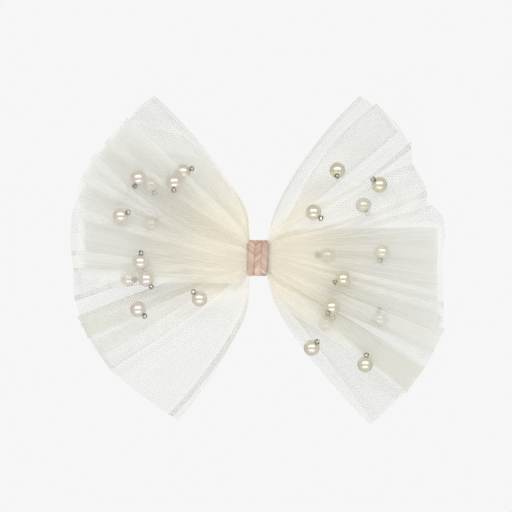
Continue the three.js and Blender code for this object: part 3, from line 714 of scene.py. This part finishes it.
# ------------------------------------------------------------------ tubes and lathes
def tube(points, radius, sides=8, closed=False, cap=True):
    """Vertices and faces of a round tube through points (metres)."""
    P = np.asarray(points, float)
    n = len(P)
    T = np.roll(P, -1, 0) - np.roll(P, 1, 0) if closed else np.gradient(P, axis=0)
    T /= np.linalg.norm(T, axis=1)[:, None] + 1e-12
    N = np.cross(T[0], [0.0, 0.0, 1.0])
    if np.linalg.norm(N) < 0.1:
        N = np.cross(T[0], [1.0, 0.0, 0.0])
    N /= np.linalg.norm(N)
    V, rad = [], np.broadcast_to(np.asarray(radius, float), (n,))
    for k in range(n):
        N = N - T[k] * np.dot(N, T[k])
        N /= np.linalg.norm(N)
        Bn = np.cross(T[k], N)
        for j in range(sides):
            a = 2 * math.pi * j / sides
            V.append(P[k] + rad[k] * (math.cos(a) * N + math.sin(a) * Bn))
    F = []
    for k in range(n if closed else n - 1):
        k2 = (k + 1) % n
        for j in range(sides):
            j2 = (j + 1) % sides
            F.append((k * sides + j, k * sides + j2, k2 * sides + j2, k2 * sides + j))
    if cap and not closed:
        F.append(tuple(range(sides - 1, -1, -1)))
        F.append(tuple((n - 1) * sides + j for j in range(sides)))
    return V, F


def merge(parts):
    V, F = [], []
    for v, f in parts:
        o = len(V)
        V += list(v)
        F += [tuple(i + o for i in q) for q in f]
    return V, F


def lathe(profile, segments):
    """Closed profile [(r, h)] turned about local Z."""
    V, F = [], []
    n = len(profile)
    for s in range(segments):
        a = 2 * math.pi * s / segments
        for r, h in profile:
            V.append((r * math.cos(a), r * math.sin(a), h))
    for s in range(segments):
        s2 = (s + 1) % segments
        for k in range(n):
            k2 = (k + 1) % n
            F.append((s * n + k, s2 * n + k, s2 * n + k2, s * n + k2))
    return V, F


def centre(node):
    lo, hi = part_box(node)
    return (Vector(lo) + Vector(hi)) / 2


# ------------------------------------------------------------------ pearls, seed beads, stitches
def pearl_profile():
    R, bore = 3.0, 0.45
    pts = []
    a0 = math.asin((bore + 0.14) / R)
    pts.append((bore, -R * math.cos(a0) + 0.16))
    for k in range(31):
        a = a0 + (math.pi - 2 * a0) * k / 30
        pts.append((R * math.sin(a), -R * math.cos(a)))
    pts.append((bore, R * math.cos(a0) - 0.16))
    return [(r * MM, h * MM) for r, h in pts]


def seed_profile():
    pts = []
    for k in range(11):
        a = math.pi * k / 10
        pts.append((0.40 + 0.70 * math.sin(a) ** 0.8, -0.74 * math.cos(a)))
    return [(r * MM, h * MM) for r, h in pts]


PEARL_V, PEARL_F = lathe(pearl_profile(), 48)
SEED_V, SEED_F = lathe(seed_profile(), 14)
rnd = random.Random(5)
stitches = []
for k in range(1, 24):
    pid, sid = f"pearl_{k:02d}", f"seed_bead_{k:02d}"
    pc, sc = centre(pid), centre(sid)
    d = (sc - pc).normalized()
    rot = d.to_track_quat("Z", "Y").to_matrix().to_4x4() @ Matrix.Rotation(rnd.uniform(0, 6.28), 4, "Z")
    for nid, V, F, mat, slot, smooth, c in ((pid, PEARL_V, PEARL_F, MAT_PEARL, "pearl", True, pc), (sid, SEED_V, SEED_F, MAT_SEED, "seed_bead", True, sc)):
        M4 = Matrix.Translation(c) @ rot
        ob = mesh_object(nid + "_fine", [M4 @ Vector(v) for v in V], F, smooth)
        if nid == pid:
            point_attribute(ob, "tint", [min(1.0, max(0.0, 0.5 + pc.x / MM / 90 + 0.3 * (rnd.random() - 0.5)))] * len(V))
            ob.data.set_sharp_from_angle(angle=math.radians(40))
        ob.data.materials.append(mat)
        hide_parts(nid)
        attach(ob, ROOT)
    # the stitch: out of the pearl, through the seed bead, over its side and back
    side = d.cross(Vector((0, -1, 0.2))).normalized()
    if rnd.random() < 0.5:
        side = -side
    r = 0.09 * MM
    a = pc + d * 2.9 * MM
    b = sc + d * 0.80 * MM
    loop = [a, sc - d * 0.5 * MM, sc + d * 0.55 * MM, b + side * 0.12 * MM, b + side * 0.55 * MM + d * 0.04 * MM, sc + side * 1.16 * MM + d * 0.35 * MM,
            sc + side * 1.20 * MM - d * 0.2 * MM, sc + side * 0.85 * MM - d * 0.8 * MM, a + side * 0.22 * MM - d * 0.05 * MM, a - d * 0.5 * MM + side * 0.1 * MM]
    back = pc - d * 2.9 * MM
    tail = [pc - d * 2.3 * MM, back, back - d * 0.35 * MM + Vector((0, 0.5 * MM, 0)), Vector((pc.x - d.x * 2.4 * MM, pc.y + 3.1 * MM, pc.z - d.z * 2.4 * MM)),
            Vector((pc.x - d.x * 1.0 * MM, pc.y + 3.35 * MM, pc.z - d.z * 1.0 * MM)), Vector((pc.x + d.x * 0.5 * MM, pc.y + 3.3 * MM, pc.z + d.z * 0.5 * MM))]
    for line in (loop, tail):
        P = np.array([list(p) for p in line])
        t = np.linspace(0, len(P) - 1, 4 * len(P))
        fine = np.stack([np.interp(t, np.arange(len(P)), P[:, c]) for c in range(3)], 1)
        for _ in range(2):
            fine[1:-1] = 0.25 * fine[:-2] + 0.5 * fine[1:-1] + 0.25 * fine[2:]
        stitches.append(tube(fine, r, 6))
V, F = merge(stitches)
st = mesh_object("pearl_stitches", V, F)
st.data.materials.append(MAT_THREAD)
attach(st, ROOT)


# ------------------------------------------------------------------ knot: woven ribbon loop and binding thread
def loop_path(y0, y1, zh, rad, n):
    """n points (y, z) at even spacing round a rounded rectangle, from the middle of the front face, upwards, and their outward normals."""
    pts = []
    m = 24
    def arc(cy, cz, a0, a1):
        for k in range(m + 1):
            a = math.radians(a0 + (a1 - a0) * k / m)
            pts.append((cy + rad * math.cos(a), cz + rad * math.sin(a)))
    pts.append((y0, 0.0))
    arc(y0 + rad, zh - rad, 180, 90)
    arc(y1 - rad, zh - rad, 90, 0)
    arc(y1 - rad, -zh + rad, 0, -90)
    arc(y0 + rad, -zh + rad, 270, 180)
    pts.append((y0, 0.0))
    P = np.array(pts)
    run = np.concatenate([[0], np.cumsum(np.hypot(*np.diff(P, axis=0).T))])
    q = np.linspace(0, run[-1], n, endpoint=False)
    Q = np.stack([np.interp(q, run, P[:, 0]), np.interp(q, run, P[:, 1])], 1)
    T = np.roll(Q, -1, 0) - np.roll(Q, 1, 0)
    T /= np.linalg.norm(T, axis=1)[:, None]
    N = np.stack([-T[:, 1], T[:, 0]], 1)       # outward for this direction of travel
    if np.dot(N[0], [-1, 0]) < 0:
        N = -N
    return Q, N, run[-1]


WRAP = dict(y0=-12.0, y1=0.2, zh=6.62)
X_LEFT = lambda z: -3.9 + 0.02 * z
X_RIGHT = lambda z: 3.75 + 0.075 * z


def knot():
    n = 220
    Q, N, run = loop_path(WRAP["y0"], WRAP["y1"], WRAP["zh"], 1.7, n)
    rows = []
    # ground of the ribbon: outer face, edges and inner face in one closed loop
    for off, xs in ((-0.10, 1.0), (-0.45, 1.0)):
        for e in (0, 1):
            x = np.where(e == 0, X_LEFT(Q[:, 1]), X_RIGHT(Q[:, 1]))
            o = off
            rows.append(np.stack([x, Q[:, 0] + N[:, 0] * o, Q[:, 1] + N[:, 1] * o], 1))
    P = np.array([rows[0], rows[1], rows[3], rows[2]])
    ground, _ = grid_object("knot_ribbon_ground", P * MM, closed_u=True, closed_v=True)
    point_attribute(ground, "yarn", np.full(4 * n, 0.0))
    ground.data.materials.append(MAT_RIBBON)
    # yarns: slanted stitches in wales that lean left and right in turn
    wales = 3
    count = int(round(run / 0.98))
    pitch = run / count
    rng = np.random.default_rng(11)
    parts, tone = [], []
    for w in range(wales):
        lean = 1 if w % 2 else -1
        for k in range(count):
            s0 = (k + (0.4 if w % 2 else 0.0)) * pitch + run / 2
            c0 = (w + 0.5) / wales
            # each strand's tone differs at random; wales leaning one way are painted a touch lighter than those leaning
            # the other (painted sheen), and one ply of each strand is a touch lighter than the other
            shade = float(np.clip(0.5 + 0.22 * rng.standard_normal() + 0.06 * lean, 0, 1))
            for ply in (-1, 1):
                line = []
                for t in np.linspace(-1, 1, 11):
                    s = s0 + t * 1.25 + ply * 0.2 * pitch
                    c = c0 + lean * t * 0.5 / wales * 1.12
                    j = (s % run) / run * n
                    a, b = int(j) % n, (int(j) + 1) % n
                    f = j - int(j)
                    q = Q[a] * (1 - f) + Q[b] * f
                    nn = N[a] * (1 - f) + N[b] * f
                    x = X_LEFT(q[1]) * (1 - c) + X_RIGHT(q[1]) * c
                    h = -0.08 + 0.26 * (1 - t ** 4)
                    line.append((x * MM, (q[0] + nn[0] * h) * MM, (q[1] + nn[1] * h) * MM))
                rad = 0.17 * MM * np.array([0.4, 0.8, 1.0, 1.0, 1.05, 1.1, 1.05, 1.0, 1.0, 0.8, 0.4]) * rng.uniform(0.9, 1.1)
                v, f = tube(line, rad, 6)
                parts.append((v, f))
                tone += [float(np.clip(shade + 0.10 * ply, 0, 1))] * len(v)
    V, F = merge(parts)
    yarn = mesh_object("knot_ribbon_yarns", V, F)
    point_attribute(yarn, "yarn", tone)
    yarn.data.materials.append(MAT_RIBBON)
    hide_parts("knot_wrap")
    for ob in (ground, yarn):
        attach(ob, ROOT)


knot()


def binding():
    turns, per = 9, 64
    Q, N, run = loop_path(-11.0, -2.5, 5.52, 0.7, per)
    pts = []
    for k in range(turns * per + 1):
        q = Q[k % per]
        pts.append(((-2.3 + 4.6 * k / (turns * per)) * MM, q[0] * MM, q[1] * MM))
    V, F = tube(pts, 0.2 * MM, 7)
    ob = mesh_object("binding_thread_turns", V, F)
    ob.data.materials.append(MAT_THREAD)
    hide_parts("binding_thread")
    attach(ob, ROOT)


binding()


# ------------------------------------------------------------------ clip
def lining():
    lo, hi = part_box("ribbon_lining")
    x0, x1, z0, z1 = lo[0] / MM, hi[0] / MM, lo[2] / MM, hi[2] / MM
    yf, yb = lo[1] / MM, hi[1] / MM
    nx, nz = 236, 13
    xs = np.linspace(x0, x1, nx)
    zs = np.linspace(-1, 1, nz)
    half = (z1 - z0) / 2
    rib = 0.5 * (1 + np.cos(2 * math.pi * np.linspace(0, (x1 - x0) / 0.82, nx)))
    top = np.zeros((nx, nz, 3)); bot = np.zeros((nx, nz, 3))
    for i, x in enumerate(xs):
        e = min((x - x0), (x1 - x)) 
        r = 3.0 if x - x0 < x1 - x else 1.8
        w = half if e >= r else half - r + math.sqrt(max(0.0, r * r - (r - e) ** 2))
        w += 0.03 * rib[i]
        top[i, :, 0] = x; bot[i, :, 0] = x
        top[i, :, 2] = zs * w; bot[i, :, 2] = zs * w
        top[i, :, 1] = yf + 0.02 + 0.10 * (1 - rib[i]) + 0.10 * (np.abs(zs) > 0.95)
        bot[i, :, 1] = yb - 0.02 - 0.06 * (1 - rib[i])
    ring = np.concatenate([top, bot[:, ::-1]], 1)
    ob, _ = grid_object("ribbon_lining_fine", ring * MM, closed_v=True)
    me = ob.data
    n = ring.shape[1]
    import bmesh
    bm = bmesh.new(); bm.from_mesh(me)
    bm.verts.ensure_lookup_table()
    bm.faces.new([bm.verts[k] for k in range(n)])
    bm.faces.new([bm.verts[(nx - 1) * n + k] for k in range(n - 1, -1, -1)])
    bmesh.ops.recalc_face_normals(bm, faces=bm.faces)
    bm.to_mesh(me); bm.free()
    me.shade_smooth()
    me.set_sharp_from_angle(angle=math.radians(50))
    me.materials.append(MAT_LINING)
    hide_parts("ribbon_lining")
    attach(ob, ROOT)


lining()

for node in ("clip_fixed_arm", "clip_moving_arm", "hinge_pin"):
    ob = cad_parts[node]
    ob.data.materials.clear()
    ob.data.materials.append(MAT_STEEL)
    bev = ob.modifiers.new("edge", "BEVEL")
    bev.width = 0.00012
    bev.segments = 2
    bev.limit_method = "ANGLE"
    bev.angle_limit = math.radians(35)


def spring():
    px, py, cr, ch, wire = 10.0, 1.7, 1.55, 1.6, 0.33
    pts = [(px + 7.6, py - cr - 0.12, -ch), (px + 4.6, py - cr - 0.06, -ch), (px + 1.8, py - cr, -ch)]
    turns, per = 3.5, 28
    total = int(turns * per)
    for k in range(total + 1):
        f = k / total
        a = -math.pi / 2 - f * turns * 2 * math.pi
        pts.append((px + cr * math.cos(a), py + cr * math.sin(a), -ch + 2 * ch * f))
    pts += [(px + 1.9, py + cr + 0.12, ch), (px + 4.6, py + cr + 1.05, ch), (px + 7.6, py + cr + 2.25, ch)]
    P = np.array(pts)
    run = np.concatenate([[0], np.cumsum(np.linalg.norm(np.diff(P, axis=0), axis=1))])
    q = np.linspace(0, run[-1], 260)
    fine = np.stack([np.interp(q, run, P[:, c]) for c in range(3)], 1)
    for _ in range(3):
        fine[1:-1] = 0.25 * fine[:-2] + 0.5 * fine[1:-1] + 0.25 * fine[2:]
    V, F = tube(fine * MM, wire * MM, 12)
    ob = mesh_object("clip_spring_wire", V, F)
    ob.data.materials.append(MAT_SPRING)
    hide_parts("clip_spring")
    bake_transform(ob)


spring()
